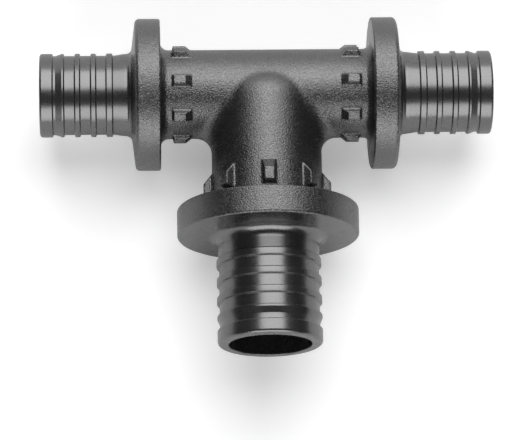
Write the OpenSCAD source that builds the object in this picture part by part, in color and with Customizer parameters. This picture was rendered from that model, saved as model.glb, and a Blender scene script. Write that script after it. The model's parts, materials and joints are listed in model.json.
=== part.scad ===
// Moulded pipe tee for expanded plastic pipe held on by sliding sleeves.
// The origin is where the two axes cross: the run lies along X and the branch points to -Y.

/* [Run] */
// Length of the run from mouth to mouth
run_length = 78; // [74:0.5:110]
// Bore through the run
run_bore_d = 11.4; // [8:0.1:12.4]
// Outside diameter of the plain tube between the two collars
run_tube_d = 15.4; // [14.6:0.1:18]
// Distance from the branch axis to the near face of each run collar
run_collar_at = 18.2; // [17.6:0.1:21]
// Width of a run collar at its rim
run_collar_w = 4.3; // [3:0.1:5]
// Diameter of a run collar
run_collar_d = 26.3; // [22:0.1:30]

/* [Run spigots] */
// Diameter over the ribs, which the expanded pipe grips
run_land_d = 14.46; // [14:0.02:15]
// Depth of the grooves between the ribs
run_groove = 0.39; // [0.2:0.01:0.6]
// Diameter at the collar, from which the spigot tapers to the foot of the first rib
run_neck_d = 14.26; // [13.6:0.02:14.4]
// Distance from the branch axis to the middle of the first rib
run_first_rib = 26.98; // [26.6:0.02:28]
// Distance from one rib to the next
run_rib_pitch = 2.75; // [2:0.05:2.9]
// Width of the first rib at its top
run_first_rib_w = 0.95; // [0.4:0.05:1.2]
// Width of the other ribs at their tops
run_rib_w = 0.75; // [0.4:0.05:1.2]
// Width of the groove between the last rib's ramp and the mouth's plain ring
run_mouth_groove_w = 0.55; // [0.3:0.05:1]
// Length of the plain ring at the mouth
run_end_w = 2.2; // [1.5:0.1:3]
// Rounding of the mouth's outer edge
run_lip_r = 0.45; // [0.2:0.05:0.6]
// Fillet between the collar's outer face and the spigot
run_spigot_fillet = 1.4; // [0.5:0.1:2]

/* [Branch] */
// Distance from the run axis to the branch's mouth
branch_reach = 44.8; // [43.5:0.1:56]
// Bore of the branch
branch_bore_d = 14.2; // [11:0.1:15.4]
// Distance from the run axis to the middle of the bore's domed end
bore_dome_back = 4.25; // [3.6:0.05:6]
// Outside diameter of the branch's plain tube and of its domed end over the run
branch_tube_d = 18.95; // [17:0.05:21]
// Distance from the run axis to where the domed end starts to round off
dome_back = 2.5; // [1.6:0.1:4]
// Radius of that rounding
dome_r = 4.7; // [3.4:0.1:8.4]
// Radius of the blend between the dome, the branch and the run
blend_r = 3; // [2:0.1:3.4]
// Distance from the run axis to the near face of the branch collar
branch_collar_at = 20.95; // [20.2:0.05:24]
// Width of the branch collar at its rim
branch_collar_w = 4.75; // [3:0.05:5.4]
// Diameter of the branch collar
branch_collar_d = 31.2; // [27:0.1:36]

/* [Branch spigot] */
// Diameter over the ribs, which the expanded pipe grips
branch_land_d = 17.96; // [17.4:0.02:19]
// Depth of the grooves between the ribs
branch_groove = 0.43; // [0.2:0.01:0.7]
// Diameter at the collar, from which the spigot tapers to the foot of the first rib
branch_neck_d = 17.52; // [16.8:0.02:17.8]
// Distance from the run axis to the middle of the first rib
branch_first_rib = 30.55; // [30.2:0.05:31.5]
// Distance from one rib to the next
branch_rib_pitch = 3.27; // [2.6:0.01:3.35]
// Width of the first rib at its top
branch_first_rib_w = 1.15; // [0.5:0.05:1.4]
// Width of the other ribs at their tops
branch_rib_w = 1.05; // [0.5:0.05:1.4]
// Width of the groove between the last rib's ramp and the mouth's plain ring
branch_mouth_groove_w = 1.1; // [0.3:0.05:1.4]
// Length of the plain ring at the mouth
branch_end_w = 2.45; // [1.5:0.05:3]
// Rounding of the mouth's outer edge
branch_lip_r = 0.7; // [0.3:0.05:0.9]
// Fillet between the collar's outer face and the spigot
branch_spigot_fillet = 1.8; // [0.5:0.1:2.2]

/* [Lugs] */
// Number of lugs round each tube
lug_count = 8; // [4:1:10]
// Height of a run lug above its tube
run_lug_h = 0.95; // [0.5:0.05:1.6]
// Width of a run lug at its foot
run_lug_w = 1.95; // [1.2:0.05:2.6]
// Length of the flat top of a run lug
run_lug_top = 2.0; // [1:0.1:2.6]
// Height of a branch lug above its tube
branch_lug_h = 1.5; // [0.8:0.02:2.2]
// Width of a branch lug at its foot
branch_lug_w = 2.3; // [1.4:0.05:3]
// Length of the flat top of a branch lug
branch_lug_top = 2.1; // [1:0.1:2.6]
// Gap between a lug's foot and its collar
lug_gap = 2.05; // [1.5:0.05:2.4]
// Slope of a lug's ramp, in degrees
lug_ramp = 39; // [30:1:55]
// Slope of a lug's sides away from upright, in degrees
lug_draft = 12; // [5:1:16]
// Rounding of a lug's upper edges
lug_edge_r = 0.2; // [0.1:0.05:0.3]
// Fillet round a lug's foot
lug_foot_r = 0.35; // [0.15:0.05:0.5]

/* [Edges] */
// Rounding of a collar's rim
rim_r = 0.35; // [0.15:0.05:0.6]
// Slope of a collar's outer face, in degrees
face_slope = 2; // [0.5:0.5:12]
// Fillet between a tube and its collar
tube_fillet = 1.4; // [0.6:0.1:1.7]
// Rounding of a bore's inner edge at its mouth
bore_lip_r = 0.4; // [0.15:0.05:0.45]
// Width of a rib's steep flank
flank_w = 0.15; // [0.05:0.05:0.25]
// Share of a rib's width that is left flat at the top of the last rib's ramp
ramp_flat = 0.38; // [0.2:0.01:0.6]

/* [Hidden] */
$fn = 96;

run_tube_r = run_tube_d / 2;
branch_tube_r = branch_tube_d / 2;
rib_count = 4;
past = 1;
sink = 0.5;
blend_steps = 96;
arc_steps = 6;
seam = 0.03;

function turn(from, to, share) =
    let (angle = acos(min(1, from * to)))
    (sin((1 - share) * angle) * from + sin(share * angle) * to) / sin(angle);

// The blend is rolled out by a ball that touches the run and the domed branch at once.
// Distance of the ball's middle from the branch axis, when it touches the branch at y.
function ball_reach(y) =
    branch_tube_r - dome_r + sqrt(pow(dome_r + blend_r, 2) - pow(max(0, y + dome_back), 2));

// Place along the branch at which the ball also touches the run, found by halving from low to high.
function ball_y(angle, low, high, halvings = 40) =
    let (y = (low + high) / 2)
    halvings == 0 ? y
    : norm([y, ball_reach(y) * sin(angle)]) > run_tube_r + blend_r
        ? ball_y(angle, y, high, halvings - 1)
        : ball_y(angle, low, y, halvings - 1);

// One slice of the blend at an angle round the branch: its concave arc, then three points buried in the walls.
function blend_slice(angle) =
    let (
        y = ball_y(angle, -run_tube_r - blend_r, dome_r + blend_r - dome_back),
        outward = [cos(angle), 0, sin(angle)],
        middle = ball_reach(y) * outward + [0, y, 0],
        dome_core = (branch_tube_r - dome_r) * outward + [0, min(y, -dome_back), 0],
        to_run = ([middle.x, 0, 0] - middle) / (run_tube_r + blend_r),
        to_branch = (dome_core - middle) / (dome_r + blend_r),
        half = acos(min(1, to_run * to_branch)) / 2,
        to_corner = (to_run + to_branch) / norm(to_run + to_branch),
        arc_r = blend_r + seam
    )
    concat(
        [for (i = [0 : arc_steps]) middle + arc_r * turn(to_run, to_branch, i / arc_steps)],
        [middle + (blend_r + sink) * to_branch],
        [middle + (blend_r / cos(half) + sink) * to_corner],
        [middle + (blend_r + sink) * to_run]
    );

module blend() {
    slice_points = arc_steps + 4;
    points = [for (k = [0 : blend_steps - 1]) each blend_slice(360 * k / blend_steps)];
    sides = [
        for (k = [0 : blend_steps - 1])
            for (i = [0 : slice_points - 1])
                let (next = (k + 1) % blend_steps, up = (i + 1) % slice_points)
                [
                    k * slice_points + i,
                    k * slice_points + up,
                    next * slice_points + up,
                    next * slice_points + i
                ]
    ];
    polyhedron(points, sides, convexity = 6);
}

// Profiles hold the radius along x and the distance from the crossing along y.
module box_2d(r0, r1, y0, y1) {
    translate([r0, y0]) square([r1 - r0, y1 - y0]);
}

// Where the fillet at the foot of a collar's outer face runs out on the spigot.
function spigot_start(rim, collar_end, neck_r, fillet) =
    collar_end + (rim - neck_r - fillet) * tan(face_slope) + fillet / cos(face_slope);

// A collar with a rounded rim, a fillet to its tube and a sloping outer face.
module collar_profile(tube_r, rim, at, w, neck_r, fillet) {
    fillet_x = neck_r + fillet;
    fillet_y = spigot_start(rim, at + w, neck_r, fillet);
    touch_x = fillet_x - fillet * sin(face_slope);
    touch_y = fillet_y - fillet * cos(face_slope);
    box_2d(0, rim - rim_r, at, at + w);
    box_2d(0, rim, at + rim_r, at + w - rim_r);
    for (y = [at + rim_r, at + w - rim_r]) translate([rim - rim_r, y]) circle(rim_r);
    difference() {
        box_2d(0, tube_r + tube_fillet, at - tube_fillet, at + rim_r);
        translate([tube_r + tube_fillet, at - tube_fillet]) circle(tube_fillet);
    }
    difference() {
        polygon([
            [0, at + rim_r],
            [rim - rim_r, at + rim_r],
            [rim - rim_r, at + w],
            [touch_x, touch_y],
            [neck_r, fillet_y],
            [0, fillet_y]
        ]);
        translate([fillet_x, fillet_y]) circle(fillet);
    }
}

// Ribs with steep flanks, all but the last.
module rib_profile(land_r, base_r, first, pitch, first_w, w) {
    for (i = [0 : rib_count - 2]) {
        middle = first + i * pitch;
        half = (i == 0 ? first_w : w) / 2;
        polygon([
            [0, middle - half - flank_w],
            [base_r, middle - half - flank_w],
            [land_r, middle - half],
            [land_r, middle + half],
            [base_r, middle + half + flank_w],
            [0, middle + half + flank_w]
        ]);
    }
}

// The last rib falls away to the mouth in a long ramp.
module ramp_profile(land_r, base_r, start, w, ramp_end) {
    polygon([
        [0, start - flank_w],
        [base_r, start - flank_w],
        [land_r, start],
        [land_r, start + w],
        [base_r, ramp_end],
        [0, ramp_end]
    ]);
}

// The plain ring at the mouth, with its outer edge rounded.
module mouth_profile(land_r, base_r, reach, w, lip_r) {
    polygon([
        [0, reach - w - flank_w],
        [base_r, reach - w - flank_w],
        [land_r, reach - w],
        [land_r, reach - lip_r],
        [land_r - lip_r, reach],
        [0, reach]
    ]);
    translate([land_r - lip_r, reach - lip_r]) circle(lip_r);
}

// A taper from the collar down to the first rib's foot, the ribs, the last one's ramp and the mouth's ring.
module spigot_profile(land_r, groove, neck_r, start, first, pitch, first_w, w, reach, end_w, groove_w, lip_r) {
    base_r = land_r - groove;
    ramp_start = first + (rib_count - 1) * pitch - w / 2;
    polygon([
        [0, start - sink],
        [neck_r, start - sink],
        [neck_r, start],
        [base_r, first - first_w / 2 - flank_w],
        [base_r, reach - end_w],
        [0, reach - end_w]
    ]);
    rib_profile(land_r, base_r, first, pitch, first_w, w);
    ramp_profile(land_r, base_r, ramp_start, w * ramp_flat, reach - end_w - groove_w);
    mouth_profile(land_r, base_r, reach, end_w, lip_r);
}

module run_port() {
    rim = run_collar_d / 2;
    neck_r = run_neck_d / 2;
    start = spigot_start(rim, run_collar_at + run_collar_w, neck_r, run_spigot_fillet);
    rotate_extrude() {
        collar_profile(run_tube_r, rim, run_collar_at, run_collar_w, neck_r, run_spigot_fillet);
        spigot_profile(run_land_d / 2, run_groove, neck_r, start, run_first_rib, run_rib_pitch,
            run_first_rib_w, run_rib_w, run_length / 2, run_end_w, run_mouth_groove_w, run_lip_r);
    }
    lugs(run_tube_r, run_collar_at, run_lug_h, run_lug_w, run_lug_top);
}

module branch_port() {
    rim = branch_collar_d / 2;
    neck_r = branch_neck_d / 2;
    start = spigot_start(rim, branch_collar_at + branch_collar_w, neck_r, branch_spigot_fillet);
    rotate_extrude() {
        collar_profile(branch_tube_r, rim, branch_collar_at, branch_collar_w, neck_r, branch_spigot_fillet);
        spigot_profile(branch_land_d / 2, branch_groove, neck_r, start, branch_first_rib, branch_rib_pitch,
            branch_first_rib_w, branch_rib_w, branch_reach, branch_end_w, branch_mouth_groove_w, branch_lip_r);
    }
    lugs(branch_tube_r, branch_collar_at, branch_lug_h, branch_lug_w, branch_lug_top);
}

// Half of a lug's section, from the middle of its flat top: a rounded edge, a leaning side and a fillet at its foot.
module lug_half(base_r, top_r, flat, lean) {
    foot = flat + (top_r - base_r) * tan(lean);
    edge_reach = lug_edge_r * tan(45 - lean / 2);
    foot_reach = lug_foot_r * tan(45 - lean / 2);
    difference() {
        polygon([
            [base_r - sink, 0],
            [base_r - sink, foot + foot_reach],
            [base_r, foot + foot_reach],
            [base_r + foot_reach * cos(lean), foot - foot_reach * sin(lean)],
            [top_r - edge_reach * cos(lean), flat + edge_reach * sin(lean)],
            [top_r, flat - edge_reach],
            [top_r, 0]
        ]);
        translate([base_r + lug_foot_r, foot + foot_reach]) circle(lug_foot_r);
    }
    translate([top_r - lug_edge_r, flat - edge_reach]) circle(lug_edge_r);
}

// Wedge lugs, steep towards the collar and ramped towards the middle of the tee.
module lugs(tube_r, collar_at, h, w, top) {
    lean = h * tan(lug_draft);
    across_base = sqrt(pow(tube_r, 2) - pow(w / 2 + lug_foot_r, 2));
    for (k = [0 : lug_count - 1]) rotate([0, 0, 360 * k / lug_count]) intersection() {
        translate([0, w, collar_at - lug_gap - lean - top / 2]) rotate([90, 0, 0]) linear_extrude(2 * w) {
            lug_half(tube_r - seam, tube_r + h, top / 2, lug_draft);
            mirror([0, 1]) lug_half(tube_r - seam, tube_r + h, top / 2, 90 - lug_ramp);
        }
        linear_extrude(collar_at) for (side = [0, 1])
            mirror([0, side]) lug_half(across_base, tube_r + h, w / 2 - lean, lug_draft);
    }
}

// A round bar along the branch, with the edge of its end over the run rounded off.
module domed_bar(r, edge_r, round_at, reach) {
    rotate_extrude() {
        box_2d(0, r, round_at, reach);
        if (edge_r < r) box_2d(0, r - edge_r, round_at - edge_r, round_at);
        intersection() {
            translate([r - edge_r, round_at]) circle(edge_r);
            box_2d(r - edge_r, r, round_at - edge_r, round_at);
        }
    }
}

// The flare that rounds a bore's inner edge.
module flare(bore_r, reach) {
    rotate_extrude() difference() {
        box_2d(bore_r - bore_lip_r, bore_r + bore_lip_r, reach - bore_lip_r, reach + past);
        translate([bore_r + bore_lip_r, reach - bore_lip_r]) circle(bore_lip_r);
    }
}

module along_branch() {
    rotate([90, 0, 0]) children();
}

module along_run(side) {
    rotate([0, 90 * side, 0]) children();
}

module outside() {
    along_run(1) cylinder(r = run_tube_r, h = 2 * (run_collar_at + sink), center = true);
    along_branch() domed_bar(branch_tube_r, dome_r, dome_back, branch_collar_at + sink);
    blend();
    for (side = [-1, 1]) along_run(side) run_port();
    along_branch() branch_port();
}

module waterways() {
    along_run(1) cylinder(d = run_bore_d, h = run_length + 2 * past, center = true);
    along_branch() domed_bar(branch_bore_d / 2, branch_bore_d / 2, bore_dome_back, branch_reach + past);
    for (side = [-1, 1]) along_run(side) flare(run_bore_d / 2, run_length / 2);
    along_branch() flare(branch_bore_d / 2, branch_reach);
}

module tee_body() {
    color([0.16, 0.165, 0.17]) difference() {
        outside();
        waterways();
    }
}

tee_body();
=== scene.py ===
import bmesh
import bpy
import json
from math import asin, atan2, ceil, cos, degrees, pi, radians, sin, sqrt, tan
from mathutils import Matrix, Vector


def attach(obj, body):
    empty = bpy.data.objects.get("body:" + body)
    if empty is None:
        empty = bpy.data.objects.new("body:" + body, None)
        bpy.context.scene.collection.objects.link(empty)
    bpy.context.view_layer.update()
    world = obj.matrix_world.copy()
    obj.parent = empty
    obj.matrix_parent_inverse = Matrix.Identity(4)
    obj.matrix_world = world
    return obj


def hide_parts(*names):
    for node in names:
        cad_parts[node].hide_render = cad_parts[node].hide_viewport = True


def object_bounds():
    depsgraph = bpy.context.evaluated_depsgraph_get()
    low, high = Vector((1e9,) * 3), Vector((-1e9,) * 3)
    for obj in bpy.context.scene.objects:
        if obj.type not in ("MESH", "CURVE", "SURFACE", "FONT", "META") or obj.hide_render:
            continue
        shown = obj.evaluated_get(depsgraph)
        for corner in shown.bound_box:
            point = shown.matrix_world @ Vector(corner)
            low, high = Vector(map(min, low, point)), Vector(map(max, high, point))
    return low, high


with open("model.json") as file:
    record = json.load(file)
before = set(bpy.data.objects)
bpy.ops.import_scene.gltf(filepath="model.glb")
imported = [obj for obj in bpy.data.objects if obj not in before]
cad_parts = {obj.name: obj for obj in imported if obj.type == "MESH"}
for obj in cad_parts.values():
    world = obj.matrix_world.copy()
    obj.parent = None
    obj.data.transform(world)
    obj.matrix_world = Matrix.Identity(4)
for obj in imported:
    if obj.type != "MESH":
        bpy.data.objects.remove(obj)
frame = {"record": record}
CAD_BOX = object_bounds()
MM = 0.001

X, Y, Z = Vector((1, 0, 0)), Vector((0, 1, 0)), Vector((0, 0, 1))
MOUNT_R = {m["name"]: m["dims"]["r_mm"] for m in frame["record"]["mounts"]}

# Camera, fitted to the photograph, in pixels, degrees and millimetres, its clip range in metres
IMAGE_W = 518
FOCAL_PX = 3499.9
SENSOR_MM = 36
CAMERA_TILT = 16.096
CAMERA_YAW = -2.101
CAMERA_ROLL = -0.541
CAMERA_TARGET = (-1.541, -22.71, 0)
CAMERA_DISTANCE = 600
CLIP_M = (0.01, 20)


def turned(axis, angle):
    """A turn about an axis by an angle in degrees."""
    return Matrix.Rotation(radians(angle), 4, axis)


def make_camera():
    data = bpy.data.cameras.new("camera")
    data.sensor_width = SENSOR_MM
    data.lens = FOCAL_PX / IMAGE_W * SENSOR_MM
    data.clip_start, data.clip_end = CLIP_M
    camera = bpy.data.objects.new("camera", data)
    aim = turned("X", CAMERA_TILT) @ turned("Y", CAMERA_YAW) @ turned("Z", CAMERA_ROLL)
    place = Matrix.Translation(Vector(CAMERA_TARGET) * MM)
    camera.matrix_world = place @ aim @ Matrix.Translation((0, 0, CAMERA_DISTANCE * MM))
    bpy.context.scene.collection.objects.link(camera)
    bpy.context.scene.camera = camera


make_camera()

# Sizes of the moulding, in millimetres and degrees
LUG_COUNT = 8
LUG_GAP = 2.05
LUG_RAMP = 39
LUG_DRAFT = 12
LUG_FOOT_R = 0.35
LUG_TOP_R = 0.2
BACK_RIM_R = 0.35
TUBE_FILLET = 1.4
BORE_LIP_R = 0.15
FLANK_W = 0.15
RIB_COUNT = 4
RIB_TOP_R = 0.12
RIB_FOOT_R = 0.1
RAMP_FLAT = 0.38
NECK_R = 1.5
BLEND_R = 3.0
DOME_BACK = 2.5
DOME_EDGE_R = 4.7
BORE_DOME_BACK = 4.25
BORE_EDGE_R = 0.3

# A collar's smooth tube side ends this far inside the rim's rounding
RIM_SEAM = 0.05
# Keeps the tube's fillet just clear of the profile's first point
FILLET_SHARE = 0.999
# Plain lengths: before a spigot's taper, before the lugs, and in from the mouths
NECK_W = 0.15
RUN_LUG_MARGIN = 0.02
BRANCH_LUG_MARGIN = 0.1
MOUTH_W = 2
BRANCH_MOUTH_W = 4

RUN = {
    "reach": CAD_BOX[1].x / MM, "bore_r": MOUNT_R["run_bore"], "tube_r": 7.7,
    "collar_at": 18.2, "collar_w": 4.3, "collar_r": 13.15,
    "rim_r": 0.8, "face_slope": 7, "neck_r": 7.13, "fillet": 1.0,
    "land_r": MOUNT_R["run_spigot_left"], "groove": 0.39,
    "first_rib": 26.98, "rib_pitch": 2.75, "first_rib_w": 0.95, "rib_w": 0.75,
    "mouth_groove_w": 0.55, "end_w": 2.2, "lip_r": 0.45,
    "lug_h": 0.95, "lug_w": 1.95, "lug_top": 2.0,
}
BRANCH = {
    "reach": -CAD_BOX[0].y / MM, "bore_r": MOUNT_R["branch_bore"], "tube_r": 9.475,
    "collar_at": 20.95, "collar_w": 4.75, "collar_r": 15.6,
    "rim_r": 0.4, "face_slope": 4, "neck_r": 8.76, "fillet": 1.8,
    "land_r": MOUNT_R["branch_spigot"], "groove": 0.43,
    "first_rib": 30.55, "rib_pitch": 3.27, "first_rib_w": 1.15, "rib_w": 1.05,
    "mouth_groove_w": 1.1, "end_w": 2.45, "lip_r": 0.7,
    "lug_h": 1.5, "lug_w": 2.3, "lug_top": 2.1,
}

# Each port's own directions: along its axis, up, and across
RIGHT_PORT = (X, Z, Y)
LEFT_PORT = (-X, Z, Y)
BRANCH_PORT = (-Y, Z, X)

# Finish of a face
GRAINED, SMOOTH = 0, 1

# How finely the mesh is divided, in counts and degrees
LUG_STEPS_ROUND = 6
LUG_STEPS_ALONG = 10
GAP_STEPS = 9
BLEND_STEPS = 8
DOME_STEPS = 16
ARC_STEP = 12
BACK_STEP = 3
# Levels of a lug's wall between its rounded foot and top, as shares of its height
LUG_LEVELS = (0.4, 0.6)
# Search for the rolling ball: halvings, and how far up the rounded end it may reach
ROLL_TRIES = 50
ROLL_LIMIT = 0.99

points, faces, finishes = [], [], []


def add_point(point):
    points.append(point)
    return len(points) - 1


def add_face(corners, finish):
    faces.append(corners)
    finishes.append(finish)


def on_port(port, along, r, angle):
    axis, up, across = port
    return axis * along + (up * cos(angle) + across * sin(angle)) * r


def ring(port, along, r, angles):
    return [add_point(on_port(port, along, r, a)) for a in angles]


def join(a, b, finish, closed=True):
    """Quads between two rows of as many points."""
    n = len(a)
    for i in range(n if closed else n - 1):
        j = (i + 1) % n
        add_face((a[i], a[j], b[j], b[i]), finish)


def stitch(a, angles_a, b, angles_b, finish):
    """Triangles between two closed rings that have different angles."""
    n, m = len(a), len(b)
    start = min(range(m), key=lambda k: abs(sin((angles_b[k] - angles_a[0]) / 2)))
    b = b[start:] + b[:start]
    angles_b = angles_b[start:] + angles_b[:start]

    def unrolled(angles):
        out = [angles[0]]
        for v in angles[1:] + angles[:1]:
            out.append(out[-1] + (v - out[-1]) % (2 * pi))
        return out

    angles_a, angles_b = unrolled(angles_a), unrolled(angles_b)
    shift = round((angles_a[0] - angles_b[0]) / (2 * pi)) * 2 * pi
    angles_b = [v + shift for v in angles_b]
    i = j = 0
    while i < n or j < m:
        if j == m or (i < n and angles_a[i + 1] <= angles_b[j + 1]):
            add_face((a[i % n], a[(i + 1) % n], b[j % m]), finish)
            i += 1
        else:
            add_face((a[i % n], b[(j + 1) % m], b[j % m]), finish)
            j += 1


def rounded(corners):
    """Points (along, r, finish) of a profile whose corners are (along, r, radius, finish)."""
    out = []
    for i, (u, r, radius, finish) in enumerate(corners):
        if radius == 0:
            out.append((u, r, finish))
            continue
        here = Vector((u, r))
        back = (here - Vector(corners[i - 1][:2])).normalized()
        ahead = (Vector(corners[i + 1][:2]) - here).normalized()
        turn = back.angle_signed(ahead)
        reach = radius * tan(abs(turn) / 2)
        steps = max(2, ceil(abs(degrees(turn)) / ARC_STEP))
        side = 1 if turn > 0 else -1
        middle = here - back * reach + Vector((back.y, -back.x)) * radius * side
        first = here - back * reach - middle
        for k in range(steps + 1):
            spin = Matrix.Rotation(-turn * k / steps, 2)
            p = middle + spin @ first
            out.append((p.x, p.y, finish))
    return out


def wall_inset(height, top, slope, foot_r, top_r):
    """How far a lug's wall stands in from the edge of its foot fillet, at a height."""
    foot = foot_r * tan(slope / 2)
    if height < foot_r * (1 - cos(slope)):
        return sqrt(foot_r ** 2 - (foot_r - height) ** 2)
    if height <= top - top_r * (1 - cos(slope)):
        return foot + height / tan(slope)
    edge = foot + top / tan(slope) + top_r * tan(slope / 2)
    return edge - sqrt(max(0, top_r ** 2 - (height - top + top_r) ** 2))


def lug_outline(size):
    """Nested outlines of a lug from foot to top, as (height, nearest, farthest, half width)."""
    steep = radians(90 - LUG_DRAFT)
    ramp = radians(LUG_RAMP)
    h = size["lug_h"]
    foot = size["collar_at"] - LUG_GAP
    ramp_end = foot - h * tan(radians(LUG_DRAFT)) - size["lug_top"] - h / tan(ramp)
    foot_low = LUG_FOOT_R * (1 - cos(ramp))
    foot_high = LUG_FOOT_R * (1 - cos(steep))
    top_low = h - LUG_TOP_R * (1 - cos(steep))
    top_high = h - LUG_TOP_R * (1 - cos(ramp))
    heights = [0, foot_low / 4, foot_low, foot_low * 2, foot_high,
               top_low, (top_low + top_high) / 2, top_high, (top_high + h) / 2, h]
    heights = sorted(heights + [h * level for level in LUG_LEVELS])
    out = []
    for height in heights:
        ramp_inset = wall_inset(height, h, ramp, LUG_FOOT_R, LUG_TOP_R)
        near = ramp_end - LUG_FOOT_R * tan(ramp / 2) + ramp_inset
        steep_inset = wall_inset(height, h, steep, LUG_FOOT_R, LUG_TOP_R)
        spread = LUG_FOOT_R * tan(steep / 2)
        far = foot + spread - steep_inset
        out.append((height, near, far, size["lug_w"] / 2 + spread - steep_inset))
    return out


def lug_angles(size):
    """Angles round a tube, with some on each edge of every lug's foot."""
    half = asin(lug_outline(size)[0][3] / size["tube_r"])
    pitch = 2 * pi / LUG_COUNT
    out = []
    for k in range(LUG_COUNT):
        middle = k * pitch
        out += [middle + half * (2 * j / LUG_STEPS_ROUND - 1) for j in range(LUG_STEPS_ROUND + 1)]
        out += [middle + half + (pitch - 2 * half) * j / GAP_STEPS for j in range(1, GAP_STEPS)]
    return out


def lug(port, size, turn, outline, base):
    """One lug on the edge points base[i][j] of its footprint."""
    axis, up, across = port
    out_way = up * cos(turn) + across * sin(turn)
    side_way = across * cos(turn) - up * sin(turn)
    tube_r, top = size["tube_r"], size["lug_h"]
    half_angle = asin(outline[0][3] / tube_r)
    nu, nt = LUG_STEPS_ALONG, LUG_STEPS_ROUND

    def place(level, i, j):
        height, near, far, half = level
        t = half * sin(half_angle * (2 * j / nt - 1)) / sin(half_angle)
        skin = sqrt(tube_r ** 2 - t ** 2)
        rise = skin + (tube_r + top - skin) * height / top
        return add_point(axis * (near + (far - near) * i / nu) + out_way * rise + side_way * t)

    edge = [(0, j) for j in range(nt + 1)] + [(i, nt) for i in range(1, nu + 1)]
    edge += [(nu, j) for j in range(nt - 1, -1, -1)] + [(i, 0) for i in range(nu - 1, 0, -1)]
    last = [base[i][j] for i, j in edge]
    for level in outline[1:]:
        new = [place(level, i, j) for i, j in edge]
        join(last, new, GRAINED)
        last = new
    top_points = dict(zip(edge, last))
    for i in range(1, nu):
        for j in range(1, nt):
            top_points[i, j] = place(outline[-1], i, j)
    for i in range(nu):
        for j in range(nt):
            corners = (i, j), (i + 1, j), (i + 1, j + 1), (i, j + 1)
            add_face(tuple(top_points[c] for c in corners), GRAINED)


def lug_band(port, size, first_ring):
    """The stretch of tube with the lugs, from first_ring to the last row before the fillet."""
    outline = lug_outline(size)
    angles = lug_angles(size)
    near, far = outline[0][1], outline[0][2]
    rows = [first_ring]
    for i in range(LUG_STEPS_ALONG + 1):
        rows.append(ring(port, near + (far - near) * i / LUG_STEPS_ALONG, size["tube_r"], angles))
    join(rows[0], rows[1], GRAINED)
    per_lug = LUG_STEPS_ROUND + GAP_STEPS
    for a, b in zip(rows[1:], rows[2:]):
        for k in range(len(angles)):
            if k % per_lug >= LUG_STEPS_ROUND:
                m = (k + 1) % len(angles)
                add_face((a[k], a[m], b[m], b[k]), GRAINED)
    for k in range(LUG_COUNT):
        base = [[row[k * per_lug + j] for j in range(LUG_STEPS_ROUND + 1)] for row in rows[1:]]
        lug(port, size, k * 2 * pi / LUG_COUNT, outline, base)
    return rows[-1]


def port_profile(size):
    """Collar, spigot, mouth and bore, as rounded corners."""
    at, end = size["collar_at"], size["collar_at"] + size["collar_w"]
    rim, land, base = size["collar_r"], size["land_r"], size["land_r"] - size["groove"]
    rim_r, neck, fillet = size["rim_r"], size["neck_r"], size["fillet"]
    slope = radians(size["face_slope"])
    foot = end + (rim - neck) * tan(slope)
    spigot_start = foot + fillet * tan((pi / 2 - slope) / 2)
    reach, bore = size["reach"], size["bore_r"]
    corners = [
        (at - TUBE_FILLET, size["tube_r"], 0, GRAINED),
        (at, size["tube_r"], TUBE_FILLET * FILLET_SHARE, GRAINED),
        (at, rim - BACK_RIM_R - RIM_SEAM, 0, SMOOTH),
        (at, rim, BACK_RIM_R, GRAINED),
        (end, rim, rim_r, GRAINED),
        (foot, neck, fillet, SMOOTH),
        (spigot_start + NECK_W, neck, NECK_R, SMOOTH),
    ]
    for i in range(RIB_COUNT - 1):
        middle = size["first_rib"] + i * size["rib_pitch"]
        half = size["rib_w" if i else "first_rib_w"] / 2
        a, b = middle - half, middle + half
        corners += [(a - FLANK_W, base, RIB_FOOT_R, SMOOTH), (a, land, RIB_TOP_R, SMOOTH),
                    (b, land, RIB_TOP_R, SMOOTH), (b + FLANK_W, base, RIB_FOOT_R, SMOOTH)]
    start = size["first_rib"] + (RIB_COUNT - 1) * size["rib_pitch"] - size["rib_w"] / 2
    ring_at = reach - size["end_w"]
    corners += [
        (start - FLANK_W, base, RIB_FOOT_R, SMOOTH),
        (start, land, RIB_TOP_R, SMOOTH),
        (start + size["rib_w"] * RAMP_FLAT, land, RIB_TOP_R, SMOOTH),
        (ring_at - size["mouth_groove_w"], base, RIB_FOOT_R, SMOOTH),
        (ring_at - FLANK_W, base, RIB_FOOT_R, SMOOTH),
        (ring_at, land, RIB_TOP_R, SMOOTH),
        (reach, land, size["lip_r"], SMOOTH),
        (reach, bore, BORE_LIP_R, SMOOTH),
        (reach - MOUTH_W, bore, 0, SMOOTH),
    ]
    return rounded(corners)


def sweep_profile(port, size, first_ring):
    """Turns the port's profile round its axis and gives the last ring, in the bore."""
    angles = lug_angles(size)
    last = first_ring
    for u, r, finish in port_profile(size):
        new = ring(port, u, r, angles)
        join(last, new, finish)
        last = new
    return last


def roll(psi, run_r, bar, ball_r):
    """The ball that touches the run tube and the branch's bar: its middle and both contacts."""
    bar_r, back, edge_r = bar
    run_off, inner = run_r + ball_r, bar_r - edge_r

    def reach(y):
        return inner + sqrt((edge_r + ball_r) ** 2 - max(0, y + back) ** 2)

    low, high = -run_off, (edge_r + ball_r) * ROLL_LIMIT - back
    for _ in range(ROLL_TRIES):
        y = (low + high) / 2
        if y * y + (sin(psi) * reach(y)) ** 2 > run_off ** 2:
            low = y
        else:
            high = y
    middle = Vector((reach(y) * cos(psi), y, reach(y) * sin(psi)))
    to_run = (Vector((middle.x, 0, 0)) - middle) / run_off
    if y > -back:
        core = Vector((inner * cos(psi), -back, inner * sin(psi)))
    else:
        core = Vector((inner * cos(psi), y, inner * sin(psi)))
    return middle, to_run, (core - middle) / (edge_r + ball_r)


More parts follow.
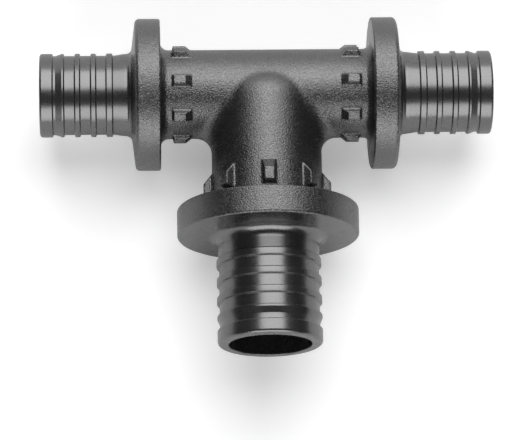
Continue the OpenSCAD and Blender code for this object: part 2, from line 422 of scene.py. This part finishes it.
def crossing(run_r, bar, ball_r, angles, branch_end, finish):
    """Where the run meets the branch's round-ended bar, their edge rounded by a ball.

    Gives the closed rings at which the right and left run tubes start, with their angles,
    and the branch's last ring.
    """
    bar_r, back, edge_r = bar
    count = len(angles)
    columns = []
    for b in angles:
        middle, to_run, to_branch = roll(pi / 2 - b, run_r, bar, ball_r)
        column = []
        for k in range(BLEND_STEPS + 1):
            column.append(middle + to_run.slerp(to_branch, k / BLEND_STEPS) * ball_r)
        touch = column[-1]
        # down the bar's rounded end, then along its straight part
        lift = asin(min(1, max(0, (touch.y + back) / edge_r)))
        straight = branch_end + min(-back, touch.y)
        total = lift * edge_r + straight
        for k in range(1, DOME_STEPS + 1):
            gone = total * k / DOME_STEPS
            if gone < lift * edge_r:
                here = lift - gone / edge_r
                radius, y = bar_r - edge_r + edge_r * cos(here), -back + edge_r * sin(here)
            else:
                radius, y = bar_r, -(branch_end - (total - gone))
            column.append(on_port(BRANCH_PORT, -y, radius, b))
        columns.append([add_point(p) for p in column])
    for k in range(count):
        join(columns[k], columns[(k + 1) % count], finish, closed=False)
    # the strip of run tube behind the branch is shared by both sides
    upper = min(range(count), key=lambda k: abs(sin(angles[k] / 2)))
    lower = min(range(count), key=lambda k: abs(cos(angles[k] / 2)))

    def run_angle(index):
        p = points[index]
        return atan2(p.y, p.z)

    top, bottom = columns[upper][0], columns[lower][0]
    a0, a1 = run_angle(top), run_angle(bottom)
    steps = ceil(degrees(a1 - a0) / BACK_STEP)
    back_angles = [a0 + (a1 - a0) * k / steps for k in range(1, steps)]
    back_points = ring(RIGHT_PORT, 0, run_r, back_angles)
    right = [columns[k][0] for k in range(upper, lower + 1)]
    left = [columns[k % count][0] for k in range(lower, upper + count + 1)]
    rings = []
    for side, tail in ((right[::-1], back_points), (left, back_points)):
        whole = side + tail
        rings.append((whole, [run_angle(i) for i in whole]))
    branch_ring = [column[-1] for column in columns]
    return rings[0], rings[1], branch_ring


def make_moulding():
    branch_angles, run_angles = lug_angles(BRANCH), lug_angles(RUN)
    branch_start = lug_outline(BRANCH)[0][1] - BRANCH_LUG_MARGIN
    run_start = lug_outline(RUN)[0][1] - RUN_LUG_MARGIN
    bore_end = BRANCH["reach"] - BRANCH_MOUTH_W
    outer_bar = (BRANCH["tube_r"], DOME_BACK, DOME_EDGE_R)
    bore_bar = (BRANCH["bore_r"], BORE_DOME_BACK, BRANCH["bore_r"])
    right, left, branch = crossing(
        RUN["tube_r"], outer_bar, BLEND_R, branch_angles, branch_start, GRAINED)
    bore_right, bore_left, bore_branch = crossing(
        RUN["bore_r"], bore_bar, BORE_EDGE_R, branch_angles, bore_end, SMOOTH)
    for port, (side, side_angles), (bore, bore_angles) in (
            (RIGHT_PORT, right, bore_right), (LEFT_PORT, left, bore_left)):
        first = ring(port, run_start, RUN["tube_r"], run_angles)
        stitch(side, side_angles, first, run_angles, GRAINED)
        mouth = sweep_profile(port, RUN, lug_band(port, RUN, first))
        bore_ring = ring(port, run_start, RUN["bore_r"], run_angles)
        stitch(bore, bore_angles, bore_ring, run_angles, SMOOTH)
        join(mouth, bore_ring, SMOOTH)
    mouth = sweep_profile(BRANCH_PORT, BRANCH, lug_band(BRANCH_PORT, BRANCH, branch))
    join(mouth, bore_branch, SMOOTH)


make_moulding()
mesh = bpy.data.meshes.new("tee_moulding")
mesh.from_pydata([p * MM for p in points], [], faces)
mesh.polygons.foreach_set("material_index", finishes)
bm = bmesh.new()
bm.from_mesh(mesh)
bmesh.ops.delete(bm, geom=[v for v in bm.verts if not v.link_faces], context="VERTS")
bmesh.ops.recalc_face_normals(bm, faces=bm.faces)
bm.to_mesh(mesh)
bm.free()
mesh.shade_smooth()
moulding = bpy.data.objects.new("tee_moulding", mesh)
bpy.context.scene.collection.objects.link(moulding)
weighted = moulding.modifiers.new("normals", "WEIGHTED_NORMAL")
weighted.keep_sharp = True
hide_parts("tee_body")
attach(moulding, "root")

# Floor, board behind it and world, in metres and strengths of light
BACKDROP_GREY = 0.94
FLOOR_HALF = 6.0
BOARD_BACK, BOARD_HALF, BOARD_LOW, BOARD_HIGH = 2.2, 1.6, -0.1, 1.5
FLOOR_GLOW, FLOOR_MIRRORED = 0.27, 0.0
BOARD_GLOW = 0.8
WORLD_LIGHT, WORLD_SEEN = 0.03, 1.0


def backdrop_material(name, seen_glow, mirrored_glow):
    """Plain white that the camera and reflections see brighter than the lamps make it."""
    mat = bpy.data.materials.new(name)
    mat.use_nodes = True
    nodes, links = mat.node_tree.nodes, mat.node_tree.links
    nodes.clear()
    out = nodes.new("ShaderNodeOutputMaterial")
    add = nodes.new("ShaderNodeAddShader")
    diffuse = nodes.new("ShaderNodeBsdfDiffuse")
    diffuse.inputs["Color"].default_value = (BACKDROP_GREY, BACKDROP_GREY, BACKDROP_GREY, 1)
    glow = nodes.new("ShaderNodeEmission")
    glow.inputs["Color"].default_value = (1, 1, 1, 1)
    path = nodes.new("ShaderNodeLightPath")
    mirrored = nodes.new("ShaderNodeMath")
    mirrored.operation = "MULTIPLY"
    mirrored.inputs[1].default_value = mirrored_glow
    both = nodes.new("ShaderNodeMath")
    both.operation = "MULTIPLY_ADD"
    both.inputs[1].default_value = seen_glow
    links.new(path.outputs["Is Glossy Ray"], mirrored.inputs[0])
    links.new(path.outputs["Is Camera Ray"], both.inputs[0])
    links.new(mirrored.outputs[0], both.inputs[2])
    links.new(both.outputs[0], glow.inputs["Strength"])
    links.new(diffuse.outputs[0], add.inputs[0])
    links.new(glow.outputs[0], add.inputs[1])
    links.new(add.outputs[0], out.inputs["Surface"])
    return mat


def make_sheet(name, corners, seen_glow, mirrored_glow):
    mesh = bpy.data.meshes.new(name)
    mesh.from_pydata(corners, [], [(0, 1, 2, 3)])
    sheet = bpy.data.objects.new(name, mesh)
    bpy.context.scene.collection.objects.link(sheet)
    mesh.materials.append(backdrop_material(name, seen_glow, mirrored_glow))


def make_backdrop():
    """A floor that touches all three collars, and an upright board behind it."""
    slope = (BRANCH["collar_r"] - RUN["collar_r"]) / (BRANCH["collar_at"] + BRANCH["collar_w"] / 2)
    square = (-1, -1), (1, -1), (1, 1), (-1, 1)
    plan = [(x * FLOOR_HALF, y * FLOOR_HALF) for x, y in square]
    floor = [(x, y, -RUN["collar_r"] * MM + y * slope) for x, y in plan]
    make_sheet("floor", floor, FLOOR_GLOW, FLOOR_MIRRORED)
    board = [(x * BOARD_HALF, BOARD_BACK, BOARD_HIGH if up > 0 else BOARD_LOW) for x, up in square]
    make_sheet("backdrop", board, BOARD_GLOW, BOARD_GLOW)


make_backdrop()


def make_lamp(name, lean, distance, shift, width, depth, radiance):
    """A soft box that leans by some degrees from straight up towards +Y, shifted along X."""
    data = bpy.data.lights.new(name, "AREA")
    data.shape = "RECTANGLE"
    data.size = width
    data.size_y = depth
    data.energy = radiance * pi * width * depth
    lamp = bpy.data.objects.new(name, data)
    lamp.matrix_world = turned("X", -lean) @ Matrix.Translation((shift, 0, distance))
    bpy.context.scene.collection.objects.link(lamp)


make_lamp("lamp_top", lean=28.5, distance=1.2, shift=0.08, width=1.2, depth=1.3, radiance=3.25)
make_lamp("lamp_front", lean=-70.5, distance=0.6, shift=0, width=0.7, depth=0.435, radiance=2.9)


def make_world():
    """White to the camera and dim to the part."""
    world = bpy.data.worlds.new("world")
    world.use_nodes = True
    nodes, links = world.node_tree.nodes, world.node_tree.links
    shown = nodes.new("ShaderNodeMapRange")
    shown.inputs["To Min"].default_value = WORLD_LIGHT
    shown.inputs["To Max"].default_value = WORLD_SEEN
    path = nodes.new("ShaderNodeLightPath")
    nodes["Background"].inputs["Color"].default_value = (1, 1, 1, 1)
    links.new(path.outputs["Is Camera Ray"], shown.inputs["Value"])
    links.new(shown.outputs["Result"], nodes["Background"].inputs["Strength"])
    bpy.context.scene.world = world


make_world()

# What both finishes of the plastic share, the cloud size in millimetres
BLACK = (0.012, 0.012, 0.0122, 1)
SPECULAR = 1.0
GRAIN_DETAIL = 1
BUMP_STRENGTH = 1
CLOUD_SIZE = 3
CLOUD_DETAIL = 4
# Most of a noise's values lie in this range
NOISE_LOW, NOISE_HIGH = 0.3, 0.7


def plastic(name, ior, roughness, spread, share, grain, size):
    """Black plastic whose grain has a height and size in millimetres.

    The roughness varies by the spread: the grain has its share in that, soft clouds the rest.
    """
    mat = bpy.data.materials.new(name)
    mat.use_nodes = True
    nodes, links = mat.node_tree.nodes, mat.node_tree.links
    shader = nodes["Principled BSDF"]
    shader.inputs["Base Color"].default_value = BLACK
    shader.inputs["IOR"].default_value = ior
    shader.inputs["Specular IOR Level"].default_value = SPECULAR
    coords = nodes.new("ShaderNodeTexCoord")
    noise = nodes.new("ShaderNodeTexNoise")
    noise.inputs["Scale"].default_value = 1 / (size * MM)
    noise.inputs["Detail"].default_value = GRAIN_DETAIL
    bump = nodes.new("ShaderNodeBump")
    bump.inputs["Strength"].default_value = BUMP_STRENGTH
    bump.inputs["Distance"].default_value = grain * MM
    clouds = nodes.new("ShaderNodeTexNoise")
    clouds.inputs["Scale"].default_value = 1 / (CLOUD_SIZE * MM)
    clouds.inputs["Detail"].default_value = CLOUD_DETAIL
    mixed = nodes.new("ShaderNodeMix")
    mixed.inputs["Factor"].default_value = share
    rough = nodes.new("ShaderNodeMapRange")
    rough.inputs["From Min"].default_value = NOISE_LOW
    rough.inputs["From Max"].default_value = NOISE_HIGH
    rough.inputs["To Min"].default_value = roughness - spread
    rough.inputs["To Max"].default_value = roughness + spread
    for texture in (noise, clouds):
        links.new(coords.outputs["Object"], texture.inputs["Vector"])
    links.new(noise.outputs["Fac"], bump.inputs["Height"])
    links.new(bump.outputs["Normal"], shader.inputs["Normal"])
    links.new(clouds.outputs["Fac"], mixed.inputs["A"])
    links.new(noise.outputs["Fac"], mixed.inputs["B"])
    links.new(mixed.outputs["Result"], rough.inputs["Value"])
    links.new(rough.outputs["Result"], shader.inputs["Roughness"])
    return mat


# In the order of GRAINED and SMOOTH
mesh.materials.append(plastic(
    "grained_plastic", ior=1.65, roughness=0.28, spread=0.05, share=1.0, grain=0.09, size=0.2))
mesh.materials.append(plastic(
    "smooth_plastic", ior=1.72, roughness=0.27, spread=0.03, share=0.2, grain=0.003, size=0.6))

bpy.context.scene.view_settings.view_transform = "Standard"
